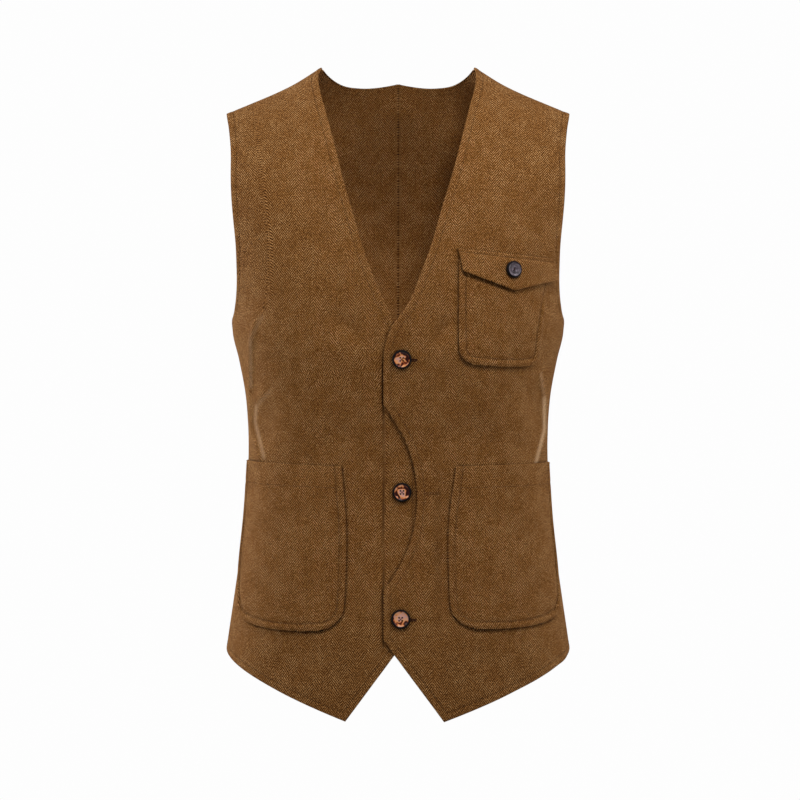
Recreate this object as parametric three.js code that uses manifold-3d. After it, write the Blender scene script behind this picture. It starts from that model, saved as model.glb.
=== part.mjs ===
// A single-breasted tweed waistcoat, filled out as it is when worn, in millimetres.
// +Z is up, the front faces -Y and +X is the wearer's left. The origin lies midway between the neck ends
// of the two shoulder seams, where the garment hangs on its wearer.
import * as THREE from "three";
import { mergeVertices } from "three/addons/utils/BufferGeometryUtils.js";
import Module from "manifold-3d";

const wasm = await Module();
wasm.setup();

// Cloth walls and the gaps between them.
const PANEL_WALL = 2.2;
const PATCH_WALL = 1.8;
const SEAM_GAP = 0.3;
const SIDE_SEAM_GAP = 0.5;
const PATCH_GAP = 0.75;
const LAP_LIFT = PANEL_WALL + 0.7;

// The filled-out form. Below the chest line it is a stack of rounded sections, and above it each
// stretch of cloth rises in an arch to the shoulder line.
const CHEST_Z = -265;
const SECTION_POWER = 2.3;
const FRONT_ARCH_POWER = 1.85;
const BACK_ARCH_POWER = 2.3;
const SHOULDER_WIDENING = 28;
const WIDENED_BY = 0.75;

const table = (columns, rows) =>
  rows.map((row) => Object.fromEntries(columns.map((name, i) => [name, row[i]])));

const GIRTH = table(
  ["z", "halfWidth", "frontDepth", "backDepth"],
  [
    [-672, 184, 121, 116],
    [-602, 176, 119, 111],
    [-550, 168.5, 116, 103],
    [-500, 161.5, 112, 95],
    [-447, 156, 109, 88],
    [-395, 153, 110, 87],
    [-343, 155.5, 118, 94],
    [-302, 162.8, 124.6, 104.5],
    [-279, 168.6, 126.7, 110.6],
    [-265, 170, 127, 112],
  ],
);

// Height of the shoulder line at each distance from the centre; between the necks it is only a guide.
const SHOULDER_LINE = table(
  ["x", "z"],
  [
    [0, 30],
    [40, 20],
    [60, 10],
    [78, -1],
    [104, -17.5],
    [125, -28],
    [151, -39],
    [178, -50],
    [205, -60.5],
  ],
);

// The neck and front edges, each measured towards its own side; below the last row they run straight.
const FRONT_EDGE = table(
  ["z", "left", "right"],
  [
    [-345, -14.5, -22],
    [-326, -14.5, -21.5],
    [-308, -14.5, -16.5],
    [-294, -13.8, -10.5],
    [-280, -10.5, -3.5],
    [-266, -3.5, 3.5],
    [-250, 9, 11.5],
    [-218, 22.5, 25.5],
    [-186, 34, 36.5],
    [-153, 43.5, 46],
    [-120, 53.5, 55.5],
    [-86, 62.5, 64],
    [-50, 71.5, 73.5],
    [-24, 78.5, 80.5],
    [-10, 80, 81.5],
    [0, 78, 78],
  ],
);

// The turn of the armhole's edge round the body, in degrees, against the rise from chest to shoulder.
const FRONT_ARMHOLE = table(
  ["rise", "turn"],
  [
    [0, 93],
    [0.03, 81],
    [0.08, 75],
    [0.15, 70.4],
    [0.25, 66],
    [0.38, 61.6],
    [0.57, 58.4],
    [0.76, 57.2],
    [0.9, 58.8],
    [1, 61.4],
  ],
);
const BACK_ARMHOLE = table(
  ["rise", "turn"],
  [
    [0, 87],
    [0.03, 80],
    [0.08, 75],
    [0.15, 69.5],
    [0.3, 62.5],
    [0.5, 58.6],
    [0.76, 57.2],
    [0.9, 58.8],
    [1, 61.4],
  ],
);

// Pointed hems of the fronts: the foot of the front edge, the point, and how the hem eases to the side.
const SIDE_SEAM_TURN = 93;
const SHOULDER_ZONE_Z = -60;
const SIDE_HEM_Z = -599;
const BACK_HEM_Z = -604;
const HEM_EASE = 1.48;
const HEM = {
  left: { footX: -14.5, footZ: -584, pointX: 45.4, pointZ: -665.3 },
  right: { footX: -22, footZ: -565, pointX: 51.5, pointZ: -664.8 },
};
const NECK_X = 78;
const BACK_NECK_RISE = 0.857;
const BACK_NECK_POWER = 3;

// The left front laps over the right. Its edge bows open round the middle button, which isn't fastened.
const LAP_ENDS_X = 31;
const LAP_FADES_X = 45;
const BOW = { midZ: -441.5, halfLength: 92.5, reach: 33, fullness: 2.2, gape: 2.4, fade: 13 };

// Soft folds: each runs from one point to another in the front or back view, towards its own side.
const FOLDS = table(
  ["panel", "x1", "z1", "x2", "z2", "width", "height"],
  [
    ["left", 12, -294, 56, -268, 8, -2.2],
    ["left", 20, -309, 70, -292, 13, 1.2],
    ["left", 70, -366, 96, -398, 16, -1.8],
    ["left", 38, -436, 44, -560, 13, -1.8],
    ["left", 146, -318, 150, -400, 8, 1.6],
    ["left", 132, -330, 152, -362, 9, -1.4],
    ["right", 14, -294, 68, -258, 8, -2.2],
    ["right", 24, -308, 80, -286, 13, 1.2],
    ["right", 140, -252, 148, -292, 8, 1.8],
    ["right", 128, -345, 152, -326, 8, 1.8],
    ["right", 132, -362, 154, -352, 8, -1.6],
    ["back", 28, -300, 44, -500, 15, -2.4],
    ["back", 58, -330, 76, -480, 13, 1.8],
    ["back", 92, -180, 134, -300, 16, -2.4],
    ["back", 104, -372, 150, -346, 11, -2],
    ["back", 96, -402, 148, -384, 11, 1.8],
  ],
);

const RAD = Math.PI / 180;
const HALF_SEAM_GAP_TURN = SIDE_SEAM_GAP / 2 / GIRTH.at(-1).backDepth / RAD;
const mix = (a, b, t) => a + (b - a) * t;
const clamp01 = (t) => Math.min(1, Math.max(0, t));
const smooth = (t) => clamp01(t) ** 2 * (3 - 2 * clamp01(t));
const signedPower = (v, p) => Math.sign(v) * Math.abs(v) ** p;

// Applies next to a value until it settles.
function settle(value, next) {
  const steps = 12;
  for (let i = 0; i < steps; i++) value = next(value);
  return value;
}

// Cubic interpolation of one column of a table whose first column rises.
function lookUp(rows, key, column, at) {
  const last = rows.length - 1;
  if (at <= rows[0][key]) return rows[0][column];
  if (at >= rows[last][key]) return rows[last][column];
  const i = rows.findIndex((row) => row[key] > at) - 1;
  const slope = (j) => {
    const a = rows[Math.max(j - 1, 0)];
    const b = rows[Math.min(j + 1, last)];
    return (b[column] - a[column]) / (b[key] - a[key]);
  };
  const span = rows[i + 1][key] - rows[i][key];
  const t = (at - rows[i][key]) / span;
  const [a, b] = [rows[i][column], rows[i + 1][column]];
  const [sa, sb] = [slope(i) * span, slope(i + 1) * span];
  return a + t * (sa + t * (3 * (b - a) - 2 * sa - sb + t * (2 * (a - b) + sa + sb)));
}

const halfWidthAt = (rise) =>
  GIRTH.at(-1).halfWidth +
  (SHOULDER_WIDENING * (1 - Math.cos(Math.PI * Math.min(rise / WIDENED_BY, 1)))) / 2;

// A point of the form. turn runs from the centre front, 0, to the centre back, 180 degrees.
function pointByRise(turn, rise) {
  const x = halfWidthAt(rise) * signedPower(Math.sin(turn * RAD), 2 / SECTION_POWER);
  const around = signedPower(Math.cos(turn * RAD), 2 / SECTION_POWER);
  const power = around > 0 ? FRONT_ARCH_POWER : BACK_ARCH_POWER;
  const depth = around > 0 ? GIRTH.at(-1).frontDepth : GIRTH.at(-1).backDepth;
  const arch = Math.max(0, 1 - rise ** power) ** (1 / power);
  const top = lookUp(SHOULDER_LINE, "x", "z", Math.abs(x));
  return new THREE.Vector3(x, -depth * arch * around, CHEST_Z + (top - CHEST_Z) * rise);
}

function pointByHeight(turn, z) {
  if (z > CHEST_Z) return pointByRise(turn, riseAt(turn, z));
  const around = signedPower(Math.cos(turn * RAD), 2 / SECTION_POWER);
  const depth = lookUp(GIRTH, "z", around > 0 ? "frontDepth" : "backDepth", z);
  const halfWidth = lookUp(GIRTH, "z", "halfWidth", z);
  const x = halfWidth * signedPower(Math.sin(turn * RAD), 2 / SECTION_POWER);
  return new THREE.Vector3(x, -depth * around, z);
}

const riseAt = (turn, z) =>
  settle(0, (rise) => {
    const x = halfWidthAt(rise) * signedPower(Math.sin(turn * RAD), 2 / SECTION_POWER);
    return (z - CHEST_Z) / (lookUp(SHOULDER_LINE, "x", "z", Math.abs(x)) - CHEST_Z);
  });

const turnFor = (x, halfWidth) =>
  Math.asin(signedPower(Math.max(-1, Math.min(1, x / halfWidth)), SECTION_POWER / 2)) / RAD;

// The turn of a point given in the front view.
function turnAt(x, z) {
  if (z <= CHEST_Z) return turnFor(x, lookUp(GIRTH, "z", "halfWidth", z));
  const top = lookUp(SHOULDER_LINE, "x", "z", Math.abs(x));
  return turnFor(x, halfWidthAt((z - CHEST_Z) / (top - CHEST_Z)));
}

// How far the left front's edge bows away from its straight line.
const bowAt = (z) =>
  Math.max(0, 1 - Math.abs((z - BOW.midZ) / BOW.halfLength) ** BOW.fullness);

// bowZ is where the row of points that z belongs to meets the edge.
const frontEdgeX = (side, z, bowZ = z) =>
  lookUp(FRONT_EDGE, "z", side, z) + (side === "left" ? BOW.reach * bowAt(bowZ) : 0);

// How far folds and the lap lift the cloth off the form.
function liftAt(panel, x, z) {
  let lift = 0;
  for (const f of FOLDS.filter((fold) => fold.panel === panel)) {
    const [dx, dz] = [f.x2 - f.x1, f.z2 - f.z1];
    const along = ((x - f.x1) * dx + (z - f.z1) * dz) / (dx * dx + dz * dz);
    const off = Math.hypot(x - f.x1 - along * dx, z - f.z1 - along * dz);
    const fade = smooth((along + 0.25) / 0.5) * smooth((1.25 - along) / 0.5);
    lift += f.height * fade * Math.exp(-((off / f.width) ** 2));
  }
  if (panel !== "back") lift *= smooth((x - LAP_ENDS_X) / (LAP_FADES_X - LAP_ENDS_X));
  if (panel === "left") {
    lift += LAP_LIFT * smooth((LAP_FADES_X - x) / (LAP_FADES_X - LAP_ENDS_X));
    lift += BOW.gape * bowAt(z) * Math.exp(-Math.max(0, x - frontEdgeX("left", z)) / BOW.fade);
  }
  return lift;
}

// Unit normals of a grid of points, from its neighbours; flip turns them round.
function normalsOf(grid, flip) {
  const at = (i, j) =>
    grid[Math.max(0, Math.min(grid.length - 1, i))][Math.max(0, Math.min(grid[0].length - 1, j))];
  return grid.map((row, i) =>
    row.map((_, j) => {
      const across = at(i, j + 1).clone().sub(at(i, j - 1));
      const up = at(i + 1, j).clone().sub(at(i - 1, j));
      return across.cross(up).multiplyScalar(flip ? -1 : 1).normalize();
    }),
  );
}

// Moves each point of a grid out along its normal by what lift says of its place.
function raise(grid, flip, lift) {
  const normals = normalsOf(grid, flip);
  return grid.map((row, i) =>
    row.map((p, j) => p.clone().addScaledVector(normals[i][j], lift(p, i, j))),
  );
}

// A closed wall of even thickness about a grid of points. trim may shift a point back to its own side
// of a seam.
function wallGeometry(grid, wall, flip, trim = (p) => p) {
  const normals = normalsOf(grid, flip);
  const [rows, columns] = [grid.length, grid[0].length];
  const positions = [];
  for (const half of [wall / 2, -wall / 2])
    grid.forEach((row, i) =>
      row.forEach((p, j) => positions.push(...trim(p.clone().addScaledVector(normals[i][j], half)))),
    );
  const outer = (i, j) => i * columns + j;
  const inner = (i, j) => rows * columns + outer(i, j);
  const index = [];
  const quad = (a, b, c, d) =>
    flip ? index.push(a, c, b, a, d, c) : index.push(a, b, c, a, c, d);
  for (let i = 0; i < rows - 1; i++)
    for (let j = 0; j < columns - 1; j++) {
      quad(outer(i, j), outer(i, j + 1), outer(i + 1, j + 1), outer(i + 1, j));
      quad(inner(i, j), inner(i + 1, j), inner(i + 1, j + 1), inner(i, j + 1));
    }
  for (let j = 0; j < columns - 1; j++) {
    quad(outer(0, j), inner(0, j), inner(0, j + 1), outer(0, j + 1));
    const top = rows - 1;
    quad(outer(top, j), outer(top, j + 1), inner(top, j + 1), inner(top, j));
  }
  for (let i = 0; i < rows - 1; i++) {
    quad(outer(i, 0), outer(i + 1, 0), inner(i + 1, 0), inner(i, 0));
    const end = columns - 1;
    quad(outer(i, end), inner(i, end), inner(i + 1, end), outer(i + 1, end));
  }
  return new THREE.BufferGeometry()
    .setAttribute("position", new THREE.Float32BufferAttribute(positions, 3))
    .setIndex(index);
}

const mirrorX = (p, sign) => new THREE.Vector3(sign * p.x, p.y, p.z);
const SIDE_SIGN = { left: 1, right: -1 };

const TWEED = new THREE.MeshStandardMaterial({ color: 0x70492a, roughness: 0.95, metalness: 0 });
const HORN = new THREE.MeshStandardMaterial({ color: 0x8a4f32, roughness: 0.25, metalness: 0 });
const DARK_HORN = new THREE.MeshStandardMaterial({ color: 0x2a2124, roughness: 0.3, metalness: 0 });

const garment = new THREE.Group();
garment.name = "waistcoat";

function addMesh(name, geometry, material) {
  const mesh = new THREE.Mesh(geometry, material);
  mesh.name = name;
  garment.add(mesh);
  return mesh;
}

// Fronts and backs have the same rows, so that their side seams run side by side.
const LOWER_ROWS = 18;
const UPPER_ROWS = 14;
const ROW_CROWDING = 1.5;

// Fronts: a grid of rows from the pointed hem to the chest line, and on to the shoulder seam.
const FRONT_GRID = { columns: 18, crowding: 1.25 };

function frontGrid(side) {
  const { columns, crowding } = FRONT_GRID;
  const hem = HEM[side];
  const seamTurn = SIDE_SEAM_TURN - HALF_SEAM_GAP_TURN;
  const footTurn = turnAt(hem.footX, hem.footZ);
  const pointTurn = turnAt(hem.pointX, hem.pointZ);
  const pointShare = (pointTurn - footTurn) / (seamTurn - footTurn);
  const pointColumn = Math.round(columns * pointShare ** (1 / crowding));
  const hemAt = (j) => {
    if (j <= pointColumn) {
      const x = mix(hem.footX, hem.pointX, j / pointColumn);
      const hemZ = mix(hem.footZ, hem.pointZ, j / pointColumn);
      return { hemShare: (turnAt(x, hemZ) - footTurn) / (seamTurn - footTurn), hemZ };
    }
    const past = (j - pointColumn) / (columns - pointColumn);
    const hemZ = mix(SIDE_HEM_Z, hem.pointZ, (1 - past) ** HEM_EASE);
    return { hemShare: mix(pointShare, 1, past), hemZ };
  };
  const grid = [];
  for (let i = 0; i <= LOWER_ROWS; i++) {
    const t = i / LOWER_ROWS;
    const bowZ = mix(hem.footZ, CHEST_Z, t);
    grid.push(
      Array.from({ length: columns + 1 }, (_, j) => {
        const { hemShare, hemZ } = hemAt(j);
        const z = mix(hemZ, CHEST_Z, t);
        const share = mix(hemShare, (j / columns) ** crowding, smooth(t));
        return pointByHeight(mix(turnAt(frontEdgeX(side, z, bowZ), z), seamTurn, share), z);
      }),
    );
  }
  for (let i = 1; i <= UPPER_ROWS; i++) {
    const rise = Math.sin((90 * RAD * i) / UPPER_ROWS) ** ROW_CROWDING;
    const edgeX = settle(0, (x) => {
      const top = lookUp(SHOULDER_LINE, "x", "z", Math.abs(x));
      return frontEdgeX(side, CHEST_Z + (top - CHEST_Z) * rise);
    });
    const innerTurn = turnFor(edgeX, halfWidthAt(rise));
    const outerTurn = lookUp(FRONT_ARMHOLE, "rise", "turn", rise);
    grid.push(
      Array.from({ length: columns + 1 }, (_, j) =>
        pointByRise(mix(innerTurn, outerTurn, (j / columns) ** crowding), rise),
      ),
    );
  }
  return raise(grid, false, (p) => liftAt(side, p.x, p.z));
}

for (const [side, sign] of Object.entries(SIDE_SIGN)) {
  const grid = frontGrid(side).map((row) => row.map((p) => mirrorX(p, sign)));
  const trim = (p) => {
    if (p.z > SHOULDER_ZONE_Z) p.y = Math.min(p.y, -SEAM_GAP / 2);
    return p;
  };
  addMesh(`front_${side}`, wallGeometry(grid, PANEL_WALL, sign < 0, trim), TWEED);
}

// Backs: two halves from the hem to the back neck and shoulder seams, joined at the centre back.
const BACK_GRID = { columns: 13, neckColumn: 6 };

function backGrid() {
  const { columns, neckColumn } = BACK_GRID;
  const seamTurn = 180 - SIDE_SEAM_TURN - HALF_SEAM_GAP_TURN;
  const grid = [];
  for (let i = 0; i <= LOWER_ROWS; i++)
    grid.push(
      Array.from({ length: columns + 1 }, (_, j) => {
        const hemZ = mix(BACK_HEM_Z, SIDE_HEM_Z, smooth(j / columns));
        const z = mix(hemZ, CHEST_Z, i / LOWER_ROWS);
        return pointByHeight(180 - (seamTurn * j) / columns, z);
      }),
    );
  for (let i = 1; i <= UPPER_ROWS; i++) {
    const climb = Math.sin((90 * RAD * i) / UPPER_ROWS) ** ROW_CROWDING;
    grid.push(
      Array.from({ length: columns + 1 }, (_, j) => {
        const neckShare = Math.min(1, j / neckColumn);
        const rise = climb * mix(BACK_NECK_RISE, 1, neckShare ** BACK_NECK_POWER);
        const outerTurn = lookUp(BACK_ARMHOLE, "rise", "turn", climb);
        const neckTurn = turnFor(NECK_X, halfWidthAt(1));
        const even = (outerTurn * j) / columns;
        const topTurn =
          j <= neckColumn
            ? neckTurn * neckShare
            : mix(neckTurn, outerTurn, (j - neckColumn) / (columns - neckColumn));
        return pointByRise(180 - mix(even, topTurn, climb), rise);
      }),
    );
  }
  return raise(grid, true, (p) => liftAt("back", p.x, p.z));
}

for (const [side, sign] of Object.entries(SIDE_SIGN)) {
  const grid = backGrid().map((row) => row.map((p) => mirrorX(p, sign)));
  const trim = (p) => {
    p.x = sign * Math.max(sign * p.x, SEAM_GAP / 2);
    if (p.z > SHOULDER_ZONE_Z) p.y = Math.max(p.y, SEAM_GAP / 2);
    return p;
  };
  addMesh(`back_${side}`, wallGeometry(grid, PANEL_WALL, sign > 0, trim), TWEED);
}

// Patches: each is a rounded rectangle laid on a front, row by row from its top edge. Its corners are
// given in the front view, towards its own side.
const HIP_POCKET = {
  columns: 12,
  rows: 9,
  cornerRows: 5,
  cornerWide: 0.15,
  cornerHigh: 0.13,
  lift: PANEL_WALL / 2 + PATCH_GAP + PATCH_WALL / 2,
  puff: 1.6,
};
const HIP_SHAPE = {
  left: table(
    ["down", "inner", "outer", "innerZ", "outerZ"],
    [
      [0, 57.5, 151, -410, -407],
      [0.35, 50.5, 154.5, -466, -462],
      [0.7, 50.5, 160, -522, -514],
      [1, 53, 163.5, -571, -560],
    ],
  ),
  right: table(
    ["down", "inner", "outer", "innerZ", "outerZ"],
    [
      [0, 55.8, 151, -410, -405],
      [0.35, 51.5, 154.5, -467, -459],
      [0.7, 52, 160, -524, -514],
      [1, 55, 162, -573, -562],
    ],
  ),
};
const HIP_SAG = 7;
const CHEST_POCKET = {
  columns: 10,
  rows: 7,
  cornerRows: 4,
  cornerWide: 0.14,
  cornerHigh: 0.13,
  lift: PANEL_WALL / 2 + PATCH_GAP + PATCH_WALL / 2,
  puff: 0.8,
};
const CHEST_SHAPE = table(
  ["down", "inner", "outer", "innerZ", "outerZ"],
  [
    [0, 60, 153.5, -204, -212],
    [0.5, 59.8, 145.2, -255, -262],
    [1, 60, 139, -306, -307.5],
  ],
);
const CHEST_SAG = 3.3;

function patchGrid(side, form, shape, sag) {
  const { columns, rows, cornerRows, cornerWide, cornerHigh, lift, puff } = form;
  const downs = [];
  for (let i = 0; i <= rows; i++) downs.push(((1 - cornerHigh) * i) / rows);
  for (let i = 1; i <= cornerRows; i++)
    downs.push(1 - cornerHigh + cornerHigh * Math.sin((90 * RAD * i) / cornerRows));
  const spots = downs.map((down) => {
    const into = clamp01((down - 1 + cornerHigh) / cornerHigh);
    const drawnIn = cornerWide * (1 - Math.sqrt(1 - into * into));
    return Array.from({ length: columns + 1 }, (_, j) => ({
      down,
      across: mix(drawnIn, 1 - drawnIn, j / columns),
    }));
  });
  const grid = spots.map((row) =>
    row.map(({ down, across }) => {
      const at = (column) => lookUp(shape, "down", column, down);
      const droop = sag * down * Math.sin(Math.PI * across);
      const z = mix(at("innerZ"), at("outerZ"), across) - droop;
      const inner = turnAt(at("inner"), at("innerZ"));
      const outer = turnAt(at("outer"), at("outerZ"));
      return pointByHeight(mix(inner, outer, across), z);
    }),
  );
  const bulge = ({ down, across }) =>
    puff * Math.sin(Math.PI * across) * Math.cos((Math.PI / 2) * down);
  return raise(grid, true, (p, i, j) => lift + liftAt(side, p.x, p.z) + bulge(spots[i][j]));
}

function addPatch(name, side, grid) {
  const sign = SIDE_SIGN[side];
  const placed = grid.map((row) => row.map((p) => mirrorX(p, sign)));
  addMesh(name, wallGeometry(placed, PATCH_WALL, sign > 0), TWEED);
}

for (const side of ["left", "right"])
  addPatch(`hip_pocket_${side}`, side, patchGrid(side, HIP_POCKET, HIP_SHAPE[side], HIP_SAG));
addPatch("chest_pocket", "left", patchGrid("left", CHEST_POCKET, CHEST_SHAPE, CHEST_SAG));

// The flap is sewn down along its top, climbs over the pocket's mouth and ends in a blunt point.
const FLAP = {
  columns: 12,
  rows: 6,
  pointColumn: 6,
  innerX: [59, 63],
  outerX: [154.5, 156],
  innerZ: [-193, -216],
  outerZ: [-201, -222.5],
  pointX: 113,
  pointZ: -234.5,
  seatLift: PANEL_WALL / 2 + PATCH_GAP + PATCH_WALL / 2,
  rideLift: PANEL_WALL / 2 + 2 * PATCH_GAP + 1.5 * PATCH_WALL + 0.7,
  rideBy: 0.3,
  stand: 1.6,
};

function flapGrid() {
  const { columns, rows, pointColumn } = FLAP;
  const spots = [];
  for (let i = 0; i <= rows; i++)
    spots.push(Array.from({ length: columns + 1 }, (_, j) => ({ down: i / rows, j })));
  const grid = spots.map((row) =>
    row.map(({ down, j }) => {
      const across = j / columns;
      const past = (j - pointColumn) / (columns - pointColumn);
      const footX =
        j <= pointColumn
          ? mix(FLAP.innerX[1], FLAP.pointX, j / pointColumn)
          : mix(FLAP.pointX, FLAP.outerX[1], past);
      const footZ =
        j <= pointColumn
          ? mix(FLAP.innerZ[1], FLAP.pointZ, j / pointColumn)
          : mix(FLAP.pointZ, FLAP.outerZ[1], past);
      const topX = mix(FLAP.innerX[0], FLAP.outerX[0], across);
      const topZ = mix(FLAP.innerZ[0], FLAP.outerZ[0], across);
      const [x, z] = [mix(topX, footX, down), mix(topZ, footZ, down)];
      return pointByHeight(turnAt(x, z), z);
    }),
  );
  const ride = (down) =>
    mix(FLAP.seatLift, FLAP.rideLift, smooth(down / FLAP.rideBy)) + FLAP.stand * down * down;
  return raise(grid, true, (p, i, j) => ride(spots[i][j].down) + liftAt("left", p.x, p.z));
}
addPatch("chest_flap", "left", flapGrid());

// Buttons: turned discs with a raised rim and four sewing holes.
const BUTTON_SIDES = 24;
const HOLE = { radius: 0.9, spread: 1.55, sides: 8 };
const BUTTON_PROFILE = table(
  ["radius", "height"],
  [
    [0, 0],
    [0.74, 0],
    [0.95, 0.26],
    [1, 0.52],
    [0.96, 0.84],
    [0.88, 1],
    [0.79, 0.95],
    [0.66, 0.72],
    [0.45, 0.6],
    [0, 0.58],
  ],
);

function solidOf(geometry) {
  const bare = geometry.clone();
  bare.deleteAttribute("normal");
  bare.deleteAttribute("uv");
  const merged = mergeVertices(bare, 1e-4);
  const vertProperties = merged.attributes.position.array;
  const triVerts = new Uint32Array(merged.index.array);
  return new wasm.Manifold(new wasm.Mesh({ numProp: 3, vertProperties, triVerts }));
}

function geometryOf(solid) {
  const { vertProperties, triVerts } = solid.getMesh();
  return new THREE.BufferGeometry()
    .setAttribute("position", new THREE.BufferAttribute(vertProperties, 3))
    .setIndex(new THREE.BufferAttribute(triVerts, 1));
}

function buttonGeometry(radius, height) {
  const profile = BUTTON_PROFILE.map((p) => new THREE.Vector2(p.radius * radius, p.height * height));
  let solid = solidOf(new THREE.LatheGeometry(profile, BUTTON_SIDES));
  for (const sx of [-1, 1])
    for (const sz of [-1, 1]) {
      const hole = new THREE.CylinderGeometry(HOLE.radius, HOLE.radius, 4 * height, HOLE.sides);
      hole.translate(sx * HOLE.spread, 0, sz * HOLE.spread);
      solid = solid.subtract(solidOf(hole));
    }
  return geometryOf(solid);
}

// Where each button lies in the front view, the front under it, and how far its back stands off that.
const ON_CLOTH = PANEL_WALL / 2 + SEAM_GAP;
const ON_FLAP = FLAP.rideLift + FLAP.stand / 2 + PATCH_WALL / 2;
const BUTTONS = table(
  ["name", "x", "z", "front", "standOff", "radius", "height", "material"],
  [
    ["button_top", 3.8, -303.2, "left", ON_CLOTH, 9.5, 3.4, HORN],
    ["button_middle", 4, -436.2, "right", ON_CLOTH, 9.5, 3.4, HORN],
    ["button_bottom", 2.7, -562.4, "left", ON_CLOTH, 9.5, 3.4, HORN],
    ["flap_button", 110.9, -213.2, "left", ON_FLAP, 8.5, 3, DARK_HORN],
  ],
);
const HALF_SPAN = 4;

for (const b of BUTTONS) {
  const spot = (x, z) => pointByHeight(turnAt(x, z), z);
  const across = spot(b.x + HALF_SPAN, b.z).sub(spot(b.x - HALF_SPAN, b.z)).normalize();
  const up = spot(b.x, b.z + HALF_SPAN).sub(spot(b.x, b.z - HALF_SPAN)).normalize();
  const out = across.clone().cross(up).normalize();
  const lift = b.standOff + liftAt(b.front, SIDE_SIGN[b.front] * b.x, b.z);
  const mesh = addMesh(b.name, buttonGeometry(b.radius, b.height), b.material);
  mesh.position.copy(spot(b.x, b.z)).addScaledVector(out, lift);
  const frame = new THREE.Matrix4().makeBasis(across, out, across.clone().cross(out));
  mesh.quaternion.setFromRotationMatrix(frame);
}

export default garment;
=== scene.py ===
import math

import bmesh
import bpy
import numpy as np
from mathutils import Matrix, Vector
from mathutils.bvhtree import BVHTree


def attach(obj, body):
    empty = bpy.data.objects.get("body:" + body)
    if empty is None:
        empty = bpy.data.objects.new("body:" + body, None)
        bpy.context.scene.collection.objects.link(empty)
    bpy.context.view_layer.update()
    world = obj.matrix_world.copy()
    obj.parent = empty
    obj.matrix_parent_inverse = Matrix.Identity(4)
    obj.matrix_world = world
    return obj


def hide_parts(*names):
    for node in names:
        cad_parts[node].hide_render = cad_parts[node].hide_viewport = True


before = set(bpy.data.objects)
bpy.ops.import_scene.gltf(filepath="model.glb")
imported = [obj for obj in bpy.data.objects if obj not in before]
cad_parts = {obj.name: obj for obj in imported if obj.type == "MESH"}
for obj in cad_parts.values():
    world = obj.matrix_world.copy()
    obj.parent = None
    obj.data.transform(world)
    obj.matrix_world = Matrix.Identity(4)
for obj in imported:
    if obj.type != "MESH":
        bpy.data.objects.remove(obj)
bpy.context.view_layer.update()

# The camera looks level at the middle of the garment from three and a half metres, as in the
# photograph, so that shoulders and hem keep their outlines.
FOCAL_PIXELS, FRAME_PIXELS = 3390, 800
SENSOR = 36
CAMERA_PLACE = (0.002, -3.5, -0.3438)
camera_data = bpy.data.cameras.new("camera")
camera_data.sensor_width = SENSOR
camera_data.lens = SENSOR * FOCAL_PIXELS / FRAME_PIXELS
camera = bpy.data.objects.new("camera", camera_data)
camera.location = CAMERA_PLACE
camera.rotation_euler = (math.pi / 2, 0, 0)
bpy.context.collection.objects.link(camera)
bpy.context.scene.camera = camera

# Fronts: two fronts of brown tweed, each cut in one from its hem's point to the shoulder, with
# turned and topstitched edges. The right one goes on first and carries the buttons. The left one
# laps over it, and bows open at the middle button.

# The tweed is wool in a herringbone of upright columns, woven from a dark and a tan yarn, with pale
# and rust flecks and a soft nap. Each piece carries its cloth coordinates in millimetres: across the
# grain, along the grain, and the distance from its nearest line of stitching.


class Wire:
    """An output socket of a shader node. Sums and products of wires add Math nodes to their tree."""

    def __init__(self, tree, socket=None):
        self.tree, self.socket = tree, socket

    def node(self, kind, settings, inputs, output=0):
        """A new node's output. stops are a ramp's colours, and inputs are values or wires."""
        made = self.tree.nodes.new("ShaderNode" + kind)
        for name, value in settings.items():
            if name != "stops":
                setattr(made, name, value)
                continue
            while len(made.color_ramp.elements) < len(value):
                made.color_ramp.elements.new(1)
            for element, (place, colour) in zip(made.color_ramp.elements, value):
                element.position, element.color = place, (*colour, 1)
        for name, value in inputs.items():
            self.feed(made.inputs[name], value)
        return Wire(self.tree, made.outputs[output])

    def feed(self, socket, value):
        if isinstance(value, Wire):
            self.tree.links.new(value.socket, socket)
        elif isinstance(value, tuple) and socket.type == "RGBA":
            socket.default_value = (*value, 1)
        else:
            socket.default_value = value

    def math(self, operation, *others):
        return self.node("Math", {"operation": operation}, dict(enumerate((self, *others))))

    def __add__(self, other):
        return self.math("ADD", other)

    def __sub__(self, other):
        return self.math("SUBTRACT", other)

    def __rsub__(self, other):
        return self.node("Math", {"operation": "SUBTRACT"}, {0: other, 1: self})

    def __mul__(self, other):
        return self.math("MULTIPLY", other)

    def __truediv__(self, other):
        return self.math("DIVIDE", other)

    __radd__, __rmul__ = __add__, __mul__

    def between(self, low, high):
        """0 below low, 1 above high and smooth between."""
        ends = {"Value": self, "From Min": low, "From Max": high}
        return self.node("MapRange", {"interpolation_type": "SMOOTHSTEP"}, ends)

    def ridge(self, centre, width):
        """1 at centre, falling off to 0 at width away."""
        return 1 - (self - centre).math("ABSOLUTE").between(0, width)

    def mixed(self, first, second):
        """The colour first where this is 0 and second where it is 1."""
        return self.node("Mix", {"data_type": "RGBA"}, {"Factor": self, 6: first, 7: second}, 2)


def new_finish(name, **fixed):
    """A material, its shader's node and a bare wire in its tree. fixed sets the shader's sockets."""
    material = bpy.data.materials.new(name)
    material.use_nodes = True
    shader = material.node_tree.nodes["Principled BSDF"]
    for socket, value in fixed.items():
        shader.inputs[socket.replace("_", " ")].default_value = value
    return material, shader, Wire(material.node_tree)


def srgb(*levels):
    """A colour given in screen levels from 0 to 255."""
    return tuple(((v / 255 + 0.055) / 1.055) ** 2.4 if v > 10 else v / 3295 for v in levels)


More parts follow.
